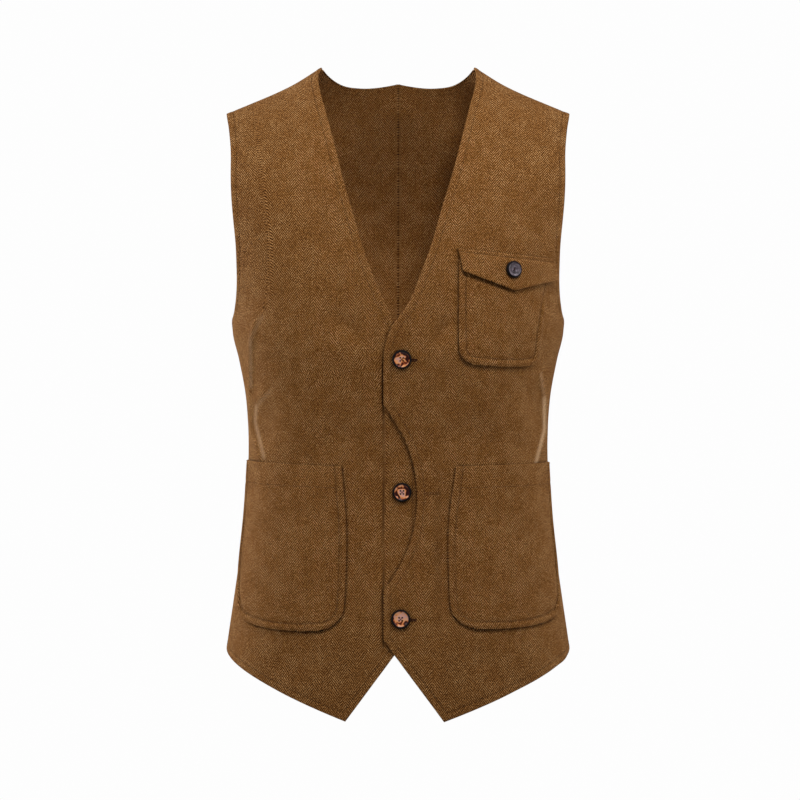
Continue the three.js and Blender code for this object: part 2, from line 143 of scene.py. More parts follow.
COLUMN, COLUMN_WANDER = 8.6, 1.3
TWILL_SLOPE, TWILL_PITCH = 1.25, 2.9
YARN_TONES = [
    (0.0, srgb(26, 8, 0)),
    (0.28, srgb(69, 34, 3)),
    (0.5, srgb(118, 74, 30)),
    (0.75, srgb(169, 117, 63)),
    (1.0, srgb(225, 173, 114)),
]
PALE_FLECK, RUST_FLECK = srgb(208, 160, 104), srgb(112, 58, 22)
# Painted shade: one tone darkens the cloth along its stitching, the other in its creases and gaps.
PAINTED_GROOVE_SHADE, PAINTED_CREVICE_SHADE = srgb(34, 17, 5), srgb(16, 6, 0)
# The nap's sheen tint, and the painted highlight on the crests of folds.
NAP_SHEEN, PAINTED_CREST_HIGHLIGHT = srgb(220, 170, 112), srgb(234, 196, 152)
TWILL_SHARE, CLEARER_BY = 0.34, 0.3
SLUB_SHARE, FINE_SHARE, BROAD_SHARE = 0.34, 0.3, 0.1
GROOVE_SHADE_WIDTH = 1.5
# How far the test for painted shade in crevices reaches, in metres, and the height of the yarns' bumps.
CREVICE_SHADE_REACH, YARN_RELIEF = 0.0035, 0.0003


def tweed(name, stitch_shade):
    """stitch_shade is how much shade is painted into the cloth's colour where a line of stitching pulls
    it in.
    """
    material, shader, bare = new_finish(name, Roughness=0.92, Sheen_Weight=0.035, Sheen_Roughness=0.5)
    shader.inputs["Sheen Tint"].default_value = (*NAP_SHEEN, 1)
    shader.inputs["Specular IOR Level"].default_value = 0.1
    cloth = bare.node("Attribute", {"attribute_name": "cloth"}, {}, "Vector")
    axes = bare.node("SeparateXYZ", {}, {0: cloth})
    across, along, inside = (Wire(axes.tree, axes.socket.node.outputs[k]) for k in "XYZ")
    flat = bare.node("CombineXYZ", {}, {"X": across, "Y": along})

    def noise(scale, detail, shift=(0.0, 0.0, 0.0)):
        at = bare.node("VectorMath", {"operation": "ADD"}, {0: flat, 1: shift})
        values = {"Vector": at, "Scale": scale, "Detail": detail, "Roughness": 0.6}
        return bare.node("TexNoise", {}, values)

    wobble = noise(0.3, 2) - 0.5
    column = (across + wobble * COLUMN_WANDER) / COLUMN
    leg = column.math("PINGPONG", 1.0)
    turned = column.math("FLOOR").math("MODULO", 2.0).math("ABSOLUTE")
    phase = (along + leg * (TWILL_SLOPE * COLUMN)) / TWILL_PITCH + turned * 0.5
    twill = ((phase * (2 * math.pi)).math("SINE") * 0.5 + 0.5).between(0.12, 0.88) - 0.5
    slub = noise(0.7, 3, (31.0, 7.0, 3.0)).between(0.3, 0.7) - 0.5
    fine = noise(1.5, 2, (5.0, 91.0, 17.0)).between(0.32, 0.68) - 0.5
    clear = noise(0.05, 2, (9.0, 40.0, 2.0)).between(0.3, 0.7)
    broad = noise(0.02, 3, (3.0, 8.0, 50.0)) - 0.5
    woven = twill * (TWILL_SHARE + CLEARER_BY * clear)
    tone = woven + slub * SLUB_SHARE + fine * FINE_SHARE + broad * BROAD_SHARE + 0.5
    colour = bare.node("ValToRGB", {"stops": YARN_TONES}, {0: tone})
    pale = noise(0.62, 1, (71.0, 13.0, 5.0)).between(0.67, 0.74)
    colour = (pale * 0.5).mixed(colour, PALE_FLECK)
    rust = noise(0.5, 1, (11.0, 53.0, 9.0)).between(0.67, 0.73)
    colour = (rust * 0.35).mixed(colour, RUST_FLECK)
    # Painted shade: the cloth is darkened along each line of stitching, where the thread pulls it into
    # a groove.
    stitched = inside.ridge(0.0, GROOVE_SHADE_WIDTH)
    colour = (stitched * stitch_shade).mixed(colour, PAINTED_GROOVE_SHADE)
    # Painted highlight: the nap is lightened along the crests of the folds, more where pale flecks lie.
    crest = bare.node("Attribute", {"attribute_name": "crest"}, {}, "Fac")
    colour = (crest * (0.55 + pale * 0.4)).mixed(colour, PAINTED_CREST_HIGHLIGHT)
    # Painted shade: an ambient occlusion test darkens the colour in creases, under edges and in the
    # gaps between pieces.
    open_to_light = bare.node("AmbientOcclusion", {"samples": 8}, {"Distance": CREVICE_SHADE_REACH}, "AO")
    crevice_shade = 1 - open_to_light.between(0.3, 0.97)
    colour = (crevice_shade * 0.92).mixed(colour, PAINTED_CREVICE_SHADE)
    height = twill * 0.6 + slub * 0.5 + fine * 0.4
    bump = bare.node("Bump", {}, {"Strength": 0.8, "Distance": YARN_RELIEF, "Height": height}, "Normal")
    bare.feed(shader.inputs["Base Color"], colour)
    bare.feed(shader.inputs["Normal"], bump)
    return material


PANEL_TWEED = tweed("panel_tweed", stitch_shade=0.12)

# Every panel lies on one form: rounded sections up to the chest line, and above it an arch from
# chest to shoulder seam. Its sizes are in millimetres, as are all sizes of the cloth.
MM = 0.001
CHEST_Z = -265
SECTION_POWER = 2.3
FRONT_ARCH_POWER, BACK_ARCH_POWER = 1.85, 2.3
SHOULDER_WIDENING, WIDENED_BY = 28, 0.75
PANEL_WALL = 2.2
SETTLING_STEPS = 12


def table(columns, *rows):
    """Named columns of numbers from rows."""
    return dict(zip(columns.split(), np.array(rows, float).T))


GIRTH = table(
    "z half_width front_depth back_depth",
    (-672, 184, 121, 116),
    (-602, 176, 119, 111),
    (-550, 168.5, 116, 103),
    (-500, 161.5, 112, 95),
    (-447, 156, 109, 88),
    (-395, 153, 110, 87),
    (-343, 155.5, 118, 94),
    (-302, 162.8, 124.6, 104.5),
    (-279, 168.6, 126.7, 110.6),
    (-265, 170, 127, 112),
)
SHOULDER_LINE = table(
    "x z",
    (0, 30),
    (40, 20),
    (60, 10),
    (78, -1),
    (104, -17.5),
    (125, -28),
    (151, -39),
    (178, -50),
    (205, -60.5),
)


def look_up(rows, key, column, at):
    """Smooth interpolation of one column of a table whose key column rises."""
    keys, values = rows[key], rows[column]
    slopes = np.empty_like(values)
    slopes[1:-1] = (values[2:] - values[:-2]) / (keys[2:] - keys[:-2])
    slopes[0] = (values[1] - values[0]) / (keys[1] - keys[0])
    slopes[-1] = (values[-1] - values[-2]) / (keys[-1] - keys[-2])
    at = np.clip(at, keys[0], keys[-1])
    i = np.clip(np.searchsorted(keys, at, side="right") - 1, 0, len(keys) - 2)
    span = keys[i + 1] - keys[i]
    t = (at - keys[i]) / span
    a, b, sa, sb = values[i], values[i + 1], slopes[i] * span, slopes[i + 1] * span
    return a + t * (sa + t * (3 * (b - a) - 2 * sa - sb + t * (2 * (a - b) + sa + sb)))


def mix(a, b, t):
    return a + (b - a) * t


def smooth(t):
    t = np.clip(t, 0, 1)
    return t * t * (3 - 2 * t)


def settle(value, step):
    """A value that step no longer changes."""
    for _ in range(SETTLING_STEPS):
        value = step(value)
    return value


def signed_power(v, p):
    return np.sign(v) * np.abs(v) ** p


def sideways(turn):
    """How far to the side a turn round the form lies, from 0 in front to 1 at the side."""
    return signed_power(np.sin(np.radians(turn)), 2 / SECTION_POWER)


def half_width(rise):
    widening = (1 - np.cos(np.pi * np.minimum(rise / WIDENED_BY, 1))) / 2
    return GIRTH["half_width"][-1] + SHOULDER_WIDENING * widening


def shoulder_top(x):
    return look_up(SHOULDER_LINE, "x", "z", np.abs(x))


def point_by_rise(turn, rise):
    """A point of the form above the chest line. rise is 0 there and 1 at the shoulder seam."""
    turn, rise = np.broadcast_arrays(turn, rise)
    x = half_width(rise) * sideways(turn)
    around = signed_power(np.cos(np.radians(turn)), 2 / SECTION_POWER)
    power = np.where(around > 0, FRONT_ARCH_POWER, BACK_ARCH_POWER)
    depth = np.where(around > 0, GIRTH["front_depth"][-1], GIRTH["back_depth"][-1])
    arch = np.maximum(0, 1 - rise**power) ** (1 / power)
    return np.stack([x, -depth * arch * around, mix(CHEST_Z, shoulder_top(x), rise)], -1)


def point_by_height(turn, z):
    """A point of the form at a height, and at a turn from 0 in front to 180 degrees behind."""
    turn, z = np.broadcast_arrays(turn, z)
    around = signed_power(np.cos(np.radians(turn)), 2 / SECTION_POWER)
    front, back = (look_up(GIRTH, "z", name, z) for name in ("front_depth", "back_depth"))
    x = look_up(GIRTH, "z", "half_width", z) * sideways(turn)
    low = np.stack([x, -np.where(around > 0, front, back) * around, z], -1)

    def next_rise(rise):
        return (z - CHEST_Z) / (shoulder_top(half_width(rise) * sideways(turn)) - CHEST_Z)

    high = point_by_rise(turn, np.clip(settle(np.zeros(z.shape), next_rise), 0, 1))
    return np.where((z > CHEST_Z)[..., None], high, low)


def turn_for(x, width):
    return np.degrees(np.arcsin(signed_power(np.clip(x / width, -1, 1), SECTION_POWER / 2)))


def turn_at(x, z):
    """The turn round the body of a point given in the front view."""
    low = look_up(GIRTH, "z", "half_width", z)
    high = half_width(np.clip((z - CHEST_Z) / (shoulder_top(x) - CHEST_Z), 0, 1))
    return turn_for(x, np.where(np.asarray(z) > CHEST_Z, high, low))


# The narrow waist and the fastened top button pull folds into the fronts: soft troughs and ridges,
# each from one point to another in the front view, with x counted towards its own side.
FRONT_EDGE = table(
    "z left right",
    (-345, -14.5, -22),
    (-326, -14.5, -21.5),
    (-308, -14.5, -16.5),
    (-294, -13.8, -10.5),
    (-280, -10.5, -3.5),
    (-266, -3.5, 3.5),
    (-250, 9, 11.5),
    (-218, 22.5, 25.5),
    (-186, 34, 36.5),
    (-153, 43.5, 46),
    (-120, 53.5, 55.5),
    (-86, 62.5, 64),
    (-50, 71.5, 73.5),
    (-24, 78.5, 80.5),
    (-10, 80, 81.5),
    (0, 78, 78),
)
LAP_GAP = 0.7
LAP_ENDS_X, LAP_FADES_X = 31, 45
PRESSED = {"x": 14.5, "width": 1.2, "depth": 2.4, "foot_z": -600, "top_z": -290, "fade": 20}
BESIDE_PRESSED = {"away": 4, "width": 2.2, "share": 0.35}
BOW = {"mid_z": -441.5, "half_length": 92.5, "reach": 33, "fullness": 2.2, "gape": 1.2, "fade": 13}
FOLD = "x1 z1 x2 z2 width height"
FOLD_FADES_BY = 0.25
FRONT_FOLDS = {
    "left": table(
        FOLD,
        (12, -294, 56, -266, 8, -3.0),
        (20, -309, 70, -292, 12, 1.6),
        (70, -366, 96, -398, 16, -2.6),
        (38, -436, 44, -560, 13, -2.0),
        (143, -318, 148.5, -346, 2.3, 2.6),
        (149, -346, 149, -378, 2.3, 3.0),
        (148, -380, 139, -411, 2.5, 2.8),
        (132, -330, 141, -372, 8, -1.8),
        (112, -382, 136, -398, 9, -1.6),
        (30, -486, 48, -508, 10, -1.2),
        (168, -596, 166, -622, 4, 1.2),
        (70, -596, 130, -640, 16, -1.6),
        (96, -120, 130, -176, 14, -1.4),
    ),
    "right": table(
        FOLD,
        (14, -294, 66, -260, 8, -3.0),
        (24, -308, 80, -286, 12, 1.6),
        (143, -262, 149, -290, 2.3, 2.4),
        (149, -292, 149, -344, 2.3, 2.8),
        (149, -348, 147, -380, 2.5, 2.6),
        (145, -382, 137, -408, 2.5, 2.6),
        (134, -336, 146, -346, 5, 1.8),
        (128, -352, 136, -388, 10, -1.8),
        (58, -372, 96, -412, 15, -1.8),
        (40, -470, 34, -560, 16, -1.4),
        (80, -590, 140, -628, 18, -1.4),
        (90, -130, 128, -196, 15, -1.4),
    ),
}


def bow_at(z):
    """How much of the left front's bow there is at a height, from 0 to 1."""
    away = np.abs(z - BOW["mid_z"]) / BOW["half_length"]
    return np.maximum(0, 1 - away ** BOW["fullness"])


def front_edge_x(side, z, bow_z=None):
    """Where a front's edge runs. bow_z is where the row of points that z belongs to meets the edge."""
    bow = BOW["reach"] * bow_at(z if bow_z is None else bow_z) if side == "left" else 0
    return look_up(FRONT_EDGE, "z", side, z) + bow


def folded(folds, x, z):
    """How far a table of folds lifts the cloth at x and z."""
    lift = np.zeros(np.shape(x))
    for x1, z1, x2, z2, width, height in zip(*folds.values()):
        dx, dz = x2 - x1, z2 - z1
        along = ((x - x1) * dx + (z - z1) * dz) / (dx * dx + dz * dz)
        off = np.hypot(x - x1 - along * dx, z - z1 - along * dz)
        fade = smooth((along + FOLD_FADES_BY) / (2 * FOLD_FADES_BY))
        fade = fade * smooth((1 + FOLD_FADES_BY - along) / (2 * FOLD_FADES_BY))
        lift = lift + height * fade * np.exp(-((off / width) ** 2))
    return lift


def lift_at(side, x, z):
    """How far a front's cloth stands off the form. The right one has a pressed line beside its
    buttons, and the left one stands off it along the lap and the bowed edge."""
    lift = folded(FRONT_FOLDS[side], x, z) * smooth((x - LAP_ENDS_X) / (LAP_FADES_X - LAP_ENDS_X))
    if side == "right":
        pressed = smooth((z - PRESSED["foot_z"]) / PRESSED["fade"])
        pressed = pressed * smooth((PRESSED["top_z"] - z) / PRESSED["fade"])
        line = np.exp(-(((x - PRESSED["x"]) / PRESSED["width"]) ** 2))
        beside = (x - PRESSED["x"] + BESIDE_PRESSED["away"]) / BESIDE_PRESSED["width"]
        line = line - BESIDE_PRESSED["share"] * np.exp(-(beside**2))
        lift = lift - PRESSED["depth"] * pressed * line
    if side == "left":
        lift = lift + (PANEL_WALL + LAP_GAP) * smooth((LAP_FADES_X - x) / (LAP_FADES_X - LAP_ENDS_X))
        behind = np.maximum(0, x - front_edge_x("left", z))
        lift = lift + BOW["gape"] * bow_at(z) * np.exp(-behind / BOW["fade"])
    return lift


# Each piece is a wall of cloth with rolled edges. A topstitched edge has a low welt, and a groove
# where the thread pulls it down. A sewn edge reaches on, to close its seam. Shade is painted along
# each line of stitching, and along a pocket's hem stitching it is painted as if the line were a
# little further away.
ROLL_STEPS = 3
SEWN_REACH = 0.28
WELT_PLACE, WELT_SPREAD = 0.45, 0.36
GROOVE_WIDTH, HEM_GROOVE_SHARE = 1.4, 0.4
HEM_SEEMS_FURTHER, NO_HEM = 0.8, -99
LAID_BACK_TILT = 0.25
FEWEST_POINTS = 8
STITCH_PITCH, THREAD_RADIUS = 3.0, 0.22
STITCH_STATIONS = [0.1, 0.3, 0.5, 0.7, 0.9]
STITCH_RISE = [-0.25, 0.1, 0.16, 0.1, -0.25]
THREAD_TAPER = [0.5, 0.95, 1, 0.95, 0.5]


def unit(v):
    return v / np.maximum(np.linalg.norm(v, axis=-1, keepdims=True), 1e-9)


def normals_of(grid, flip):
    across, up = np.gradient(grid, axis=1), np.gradient(grid, axis=0)
    return unit(np.cross(across, up)) * (-1 if flip else 1)


def raised(grid, flip, lift):
    return grid + normals_of(grid, flip) * np.asarray(lift)[..., None]


def rim_of(grid, far_split=0, top_split=0):
    """Indices round a grid's edge, and the side that each belongs to. The far side is a seam below
    far_split, and the top is a neckline up to top_split."""
    rows, columns = grid.shape[:2]
    foot = [(0, j, "foot") for j in range(columns - 1)]
    far = [(i, columns - 1, "seam" if i < far_split else "far") for i in range(rows - 1)]
    top = [(rows - 1, j, "neck" if j < top_split else "top") for j in range(columns - 1, 0, -1)]
    near = [(i, 0, "near") for i in range(rows - 1, 0, -1)]
    return foot + far + top + near


def edge_distance(grid, rim, sides):
    """How far each point of a grid is from the nearest of the named sides."""
    line = np.array([grid[i, j] for i, j, side in rim if side in sides])[None]
    return np.array([np.linalg.norm(row[:, None] - line, axis=-1).min(1) for row in grid])


def cloth_coordinates(grid, start):
    """Distances across and along the grain, counted from start on the near edge. The grain runs
    straight up the cloth, whatever way the edges lean."""
    steps = np.diff(grid, axis=1)
    across = np.hypot(steps[..., 0], steps[..., 1])
    across = np.concatenate([np.zeros((len(grid), 1)), np.cumsum(across, 1)], 1) + start[:, None]
    out = normals_of(grid, False)
    level = unit(np.stack([-out[..., 1], out[..., 0], 0 * out[..., 0]], -1))
    grain = np.cross(out, level)
    grain = (grain * np.sign(grain[..., 2:] + 1e-9))[:-1]
    climb = np.diff(grid, axis=0)
    over_shoulder = np.hypot(climb[..., 1], climb[..., 2]) * np.sign(climb[..., 2] + 1e-9)
    laid_back = smooth((np.abs(out[:-1, :, 2]) - LAID_BACK_TILT) / LAID_BACK_TILT)
    rise = mix(np.sum(climb * grain, -1), over_shoulder, laid_back)
    along = np.concatenate([np.zeros((1, grid.shape[1])), np.cumsum(rise, 0)], 0) + grid[:1, :, 2]
    return across, along


def contour(values, level, *fields):
    """Chains of points where a grid of values crosses a level, with what each field has there."""
    above, links = values > level, {}
    split = (above[:-1, :-1] != above[1:, 1:]) | (above[:-1, 1:] != above[1:, :-1])
    split |= above[:-1, :-1] != above[:-1, 1:]
    for i, j in np.argwhere(split).tolist():
        corners = [(i, j), (i, j + 1), (i + 1, j + 1), (i + 1, j)]
        sides = [tuple(sorted(pair)) for pair in zip(corners, corners[1:] + corners[:1])]
        crossed = [pair for pair in sides if above[pair[0]] != above[pair[1]]]
        for one, other in zip(crossed[::2], crossed[1::2]):
            links.setdefault(one, []).append(other)
            links.setdefault(other, []).append(one)
    chains = []
    while links:
        chain = [min(links, key=lambda pair: len(links[pair]))]
        while ways := [pair for pair in links.pop(chain[-1]) if pair in links]:
            chain.append(ways[0])
        share = np.array([(level - values[a]) / (values[b] - values[a]) for a, b in chain])[:, None]
        ends = [[np.array([f[pair[k]] for pair in chain]) for k in (0, 1)] for f in fields]
        chains.append([mix(a, b, share) for a, b in ends])
    return chains


def cloth_piece(
    name,
    grid,
    flip,
    wall,
    stitched=(),
    sewn=(),
    stitch_in=7.5,
    welt=0.2,
    groove=0.25,
    hem_line=None,
    splits=(0, 0),
    finish=PANEL_TWEED,
    mirrored=False,
):
    """A wall of cloth about a grid of points, and the lines of stitching on it.
    Sewn sides meet their neighbour in a closed seam."""
    rows, columns = grid.shape[:2]
    normals = normals_of(grid, flip)
    rim = rim_of(grid, *splits)
    at = np.array([[i, j] for i, j, _ in rim])
    edge, up = grid[at[:, 0], at[:, 1]], normals[at[:, 0], at[:, 1]]
    run = unit(np.roll(edge, -1, 0) - np.roll(edge, 1, 0))
    outward = np.cross(run, up) * (-1 if flip else 1)
    half = wall / 2
    reach = np.array([SEWN_REACH if side in sewn else 0.0 for _, _, side in rim])
    edge = edge + outward * reach[:, None]
    inset = grid.copy()
    inset[at[:, 0], at[:, 1]] = edge - outward * half
    away = edge_distance(grid, rim, stitched)
    from_welt = (away - stitch_in * WELT_PLACE) / (stitch_in * WELT_SPREAD)
    height = half + welt * np.exp(-(from_welt**2))
    height = height - groove * np.exp(-(((away - stitch_in) / GROOVE_WIDTH) ** 2))
    from_top = edge_distance(grid, rim, ("top",))
    if hem_line:
        from_hem = (from_top - hem_line) / GROOVE_WIDTH
        height = height - HEM_GROOVE_SHARE * groove * np.exp(-(from_hem**2))
    outer = inset + normals * height[..., None]
    inner = inset - normals * half
    across, along = cloth_coordinates(grid, grid[:, 0, 0])
    hem_away = np.abs(from_top - (hem_line or NO_HEM)) + HEM_SEEMS_FURTHER
    nearest = np.minimum(np.abs(away - stitch_in), hem_away)
    facts = np.stack([across, along, nearest], -1)
    rim_facts = facts[at[:, 0], at[:, 1]]
    within = np.clip(at, 1, [rows - 2, columns - 2])
    away_from = unit((rim_facts - facts[within[:, 0], within[:, 1]]) * [1, 1, 0])
    outer_facts, inner_facts = facts.copy(), facts.copy()
    outer_facts[at[:, 0], at[:, 1]] = rim_facts - away_from * half
    inner_facts[at[:, 0], at[:, 1]] = rim_facts + away_from * half * (math.pi - 1)
    places = [outer.reshape(-1, 3), inner.reshape(-1, 3)]
    told = [outer_facts.reshape(-1, 3), inner_facts.reshape(-1, 3)]
    for k in range(1, ROLL_STEPS + 1):
        rolled = math.pi * k / (ROLL_STEPS + 1)
        bend = math.pi / 2 - rolled
        places.append(edge - outward * half + half * (outward * math.cos(bend) + up * math.sin(bend)))
        told.append(rim_facts + away_from * half * (rolled - 1))
    size = rows * columns
    index = np.arange(size).reshape(rows, columns)
    corners = [index[:-1, :-1], index[:-1, 1:], index[1:, 1:], index[1:, :-1]]
    quads = np.stack(corners, -1).reshape(-1, 4)
    faces = [quads, quads[:, ::-1] + size]
    rings = [index[at[:, 0], at[:, 1]]]
    rings += [2 * size + k * len(rim) + np.arange(len(rim)) for k in range(ROLL_STEPS)]
    rings += [rings[0] + size]
    for a, b in zip(rings, rings[1:]):
        faces.append(np.stack([a, b, np.roll(b, -1), np.roll(a, -1)], -1))
    lines = contour(away, stitch_in, outer, normals)
    if hem_line:
        lines += contour(np.where(away > stitch_in - 1, from_top, 0), hem_line, outer, normals)
    sign = np.array([-1 if mirrored else 1, 1, 1])
    places, faces = np.concatenate(places) * sign, np.concatenate(faces)
    piece = mesh_piece(name, places, faces, finish, turned=flip != mirrored)
    cloth = piece.data.attributes.new("cloth", "FLOAT_VECTOR", "POINT")
    cloth.data.foreach_set("vector", np.concatenate(told).astype(np.float32).ravel())
    lines = [(points * sign, ups * sign) for points, ups in lines if len(points) > FEWEST_POINTS]
    return piece, lines, cut_size(across, along, grid)


def mesh_piece(name, places, faces, finish, turned=False):
    """A piece from places in millimetres. turned gives its faces the other side."""
    mesh = bpy.data.meshes.new(name)
    mesh.from_pydata((places * MM).tolist(), [], (faces[:, ::-1] if turned else faces).tolist())
    mesh.polygons.foreach_set("use_smooth", [True] * len(mesh.polygons))
    mesh.materials.append(finish)
    piece = bpy.data.objects.new(name, mesh)
    bpy.context.collection.objects.link(piece)
    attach(piece, "root")
    return piece


def along_chain(points, ups, stations):
    """Points and upward directions at the given distances along a chain."""
    steps = np.linalg.norm(np.diff(points, axis=0), axis=1)
    walked = np.concatenate([[0], np.cumsum(steps)])
    at, over = (
        np.stack([np.interp(stations, walked, v[:, k]) for k in range(3)], -1) for v in (points, ups)
    )
    return at, unit(over)


def threads(name, paths, ups, radius, finish):
    """One piece of many short six-sided threads. Each goes through five points and thins towards
    its ends."""
    run = np.gradient(paths, axis=1)
    side = unit(np.cross(run, ups))
    over = unit(np.cross(side, run))
    taper = radius * np.array(THREAD_TAPER)[None, :, None, None]
    turn = np.radians(np.arange(6) * 60)[None, None, :, None]
    around = np.cos(turn) * side[:, :, None] + np.sin(turn) * over[:, :, None]
    places = (paths[:, :, None] + taper * around).reshape(-1, 3)
    index = np.arange(len(paths) * 30).reshape(-1, 5, 6)
    a, b = index[:, :-1], index[:, 1:]
    sides = np.stack([a, np.roll(a, -1, 2), np.roll(b, -1, 2), b], -1).reshape(-1, 4)
    caps = [index[:, 0][:, [0, 3, 2, 1]], index[:, 0][:, [0, 5, 4, 3]]]
    caps += [index[:, 4][:, [0, 1, 2, 3]], index[:, 4][:, [0, 3, 4, 5]]]
    return mesh_piece(name, places, np.concatenate([sides, *caps]), finish, turned=True)


def topstitch(name, lines, finish):
    """Stitches along lines of points, each stitch dipping into the cloth at both ends."""
    paths, ups = [], []
    for points, up in lines:
        length = np.linalg.norm(np.diff(points, axis=0), axis=1).sum()
        count = max(1, round(length / STITCH_PITCH))
        stations = (np.arange(count)[:, None] + np.array(STITCH_STATIONS)) * length / count
        at, over = along_chain(points, up, stations.ravel())
        rise = np.tile(STITCH_RISE, count)[:, None]
        paths.append((at + over * rise).reshape(count, 5, 3))
        ups.append(over.reshape(count, 5, 3))
    return threads(name, np.concatenate(paths), np.concatenate(ups), THREAD_RADIUS, finish)


def thread_finish(name, colour, strand_shade):
    """Twisted thread of one colour, with shade painted between its strands."""
    material, shader, bare = new_finish(name, Roughness=0.85)
    shader.inputs["Specular IOR Level"].default_value = 0.15
    place = bare.node("TexCoord", {}, {}, "Object")
    twist = bare.node("TexNoise", {}, {"Vector": place, "Scale": 1600.0, "Detail": 2.0})
    # Painted shade: noise mixes a darker tone into the thread, standing for the shade between strands.
    bare.feed(shader.inputs["Base Color"], twist.between(0.35, 0.65).mixed(strand_shade, colour))
    bump = bare.node("Bump", {}, {"Strength": 0.6, "Distance": 0.0001, "Height": twist}, "Normal")
    bare.feed(shader.inputs["Normal"], bump)
    return material


BROWN_THREAD = thread_finish("brown_thread", srgb(118, 80, 42), srgb(80, 50, 22))


def cut_size(across, along, grid):
    """Width, length and area of a piece laid flat, in millimetres."""
    a, b = np.diff(grid, axis=1)[:-1], np.diff(grid, axis=0)[:, :-1]
    area = np.linalg.norm(np.cross(a, b), axis=-1).sum()
    return np.ptp(across), np.ptp(along), area


# The cut of the fronts: their side seams, their pointed hems, and their armholes by turn round the
# form. Rows of points run from the hem to the chest line, and from there to the shoulder.
SIDE_SEAM_TURN, SEAM_GAP_TURN = 93, 0.128
SIDE_HEM_Z, BACK_HEM_Z, HEM_EASE = -599, -604, 1.48
HEM = {
    "left": {"foot": (-14.5, -584), "point": (45.4, -665.3)},
    "right": {"foot": (-22, -565), "point": (51.5, -664.8)},
}
FRONT_ARMHOLE = table(
    "rise turn",
    (0, 93),
    (0.03, 81),
    (0.08, 75),
    (0.15, 70.4),
    (0.25, 66),
    (0.38, 61.6),
    (0.57, 58.4),
    (0.76, 57.2),
    (0.9, 58.8),
    (1, 61.4),
)
LOWER_ROWS, UPPER_ROWS, ROW_CROWDING = 124, 104, 1.12
FRONT_WIDTH, FRONT_LOWER_LENGTH = 215, 360
FIRST_STEP, EDGE_STEP, EDGE_STEPS = 2.4, 1.25, 9


def edge_steps(length, steps=EDGE_STEPS):
    """Shares of a length that the points closest to an edge have, where its welt lies."""
    return np.concatenate([[0], FIRST_STEP + EDGE_STEP * np.arange(steps)]) / length


def shares(length, coarse, near_steps=EDGE_STEPS, far_steps=EDGE_STEPS):
    """Shares of a length from 0 to 1, closer together near both ends."""
    near, far = edge_steps(length, near_steps), edge_steps(length, far_steps)
    middle = np.linspace(near[-1], 1 - far[-1], coarse + 1)[1:-1]
    return np.concatenate([near, middle, 1 - far[::-1]])


def lower_rows(length):
    """Shares of the way up from a hem to the chest line."""
    near = edge_steps(length)
    return np.concatenate([near, np.linspace(near[-1], 1, LOWER_ROWS)[1:]])[:, None]


def upper_rows():
    """Shares of the way up from the chest line to the shoulder."""
    return np.sin(np.pi / 2 * np.arange(1, UPPER_ROWS + 1) / UPPER_ROWS) ** ROW_CROWDING


def front_grid(side):
    """Points of a front, row by row from its hem, and the row where its armhole starts."""
    hem = HEM[side]
    (foot_x, foot_z), (point_x, point_z) = hem["foot"], hem["point"]
    seam_turn = SIDE_SEAM_TURN - SEAM_GAP_TURN
    foot_turn, point_turn = turn_at(foot_x, foot_z), turn_at(point_x, point_z)
    point_share = (point_turn - foot_turn) / (seam_turn - foot_turn)
    share = shares(FRONT_WIDTH, 60, near_steps=42)
    share[np.argmin(np.abs(share - point_share))] = point_share
    hem_turn = mix(foot_turn, seam_turn, share)

    def down_the_cut(z):
        x = look_up(GIRTH, "z", "half_width", z) * sideways(hem_turn)
        return mix(foot_z, point_z, (x - foot_x) / (point_x - foot_x))

    cut_z = settle(np.full(len(share), float(foot_z)), down_the_cut)
    past = np.clip((share - point_share) / (1 - point_share), 0, 1)
    hem_z = np.where(share <= point_share, cut_z, mix(SIDE_HEM_Z, point_z, (1 - past) ** HEM_EASE))
    z = mix(hem_z[None], CHEST_Z, lower_rows(FRONT_LOWER_LENGTH))
    edge_turn = turn_at(front_edge_x(side, z, z[:, :1]), z)
    lower = point_by_height(mix(edge_turn, seam_turn, share[None]), z)
    rise = upper_rows()

    def next_edge(x):
        return front_edge_x(side, mix(CHEST_Z, shoulder_top(x), rise))

    inner_turn = turn_for(settle(np.zeros(UPPER_ROWS), next_edge), half_width(rise))
    outer_turn = look_up(FRONT_ARMHOLE, "rise", "turn", rise)
    upper = point_by_rise(mix(inner_turn[:, None], outer_turn[:, None], share[None]), rise[:, None])
    grid = np.concatenate([lower, upper])
    return raised(grid, False, lift_at(side, grid[..., 0], grid[..., 2])), len(lower)


# Highlights are painted into the nap's colour along the crests of the folds at each side of the
# waist, in lines from one point to another in the front view.
CREST = "x1 z1 x2 z2 width share"
CREST_HIGHLIGHTS = {
    "left": table(
        CREST,
        (145, -318, 149, -342, 1.3, 0.5),
        (149, -342, 149.5, -374, 1.7, 1.1),
        (149.5, -374, 140, -408, 1.8, 0.9),
    ),
    "right": table(
        CREST,
        (137, -260, 149, -281, 1.8, 0.3),
        (149, -281, 149.5, -330, 1.7, 0.4),
        (130, -336, 144, -350, 2.4, 0.25),
        (144, -350, 145.5, -366, 1.8, 0.5),
        (145.5, -366, 136, -402, 1.8, 0.55),
    ),
}


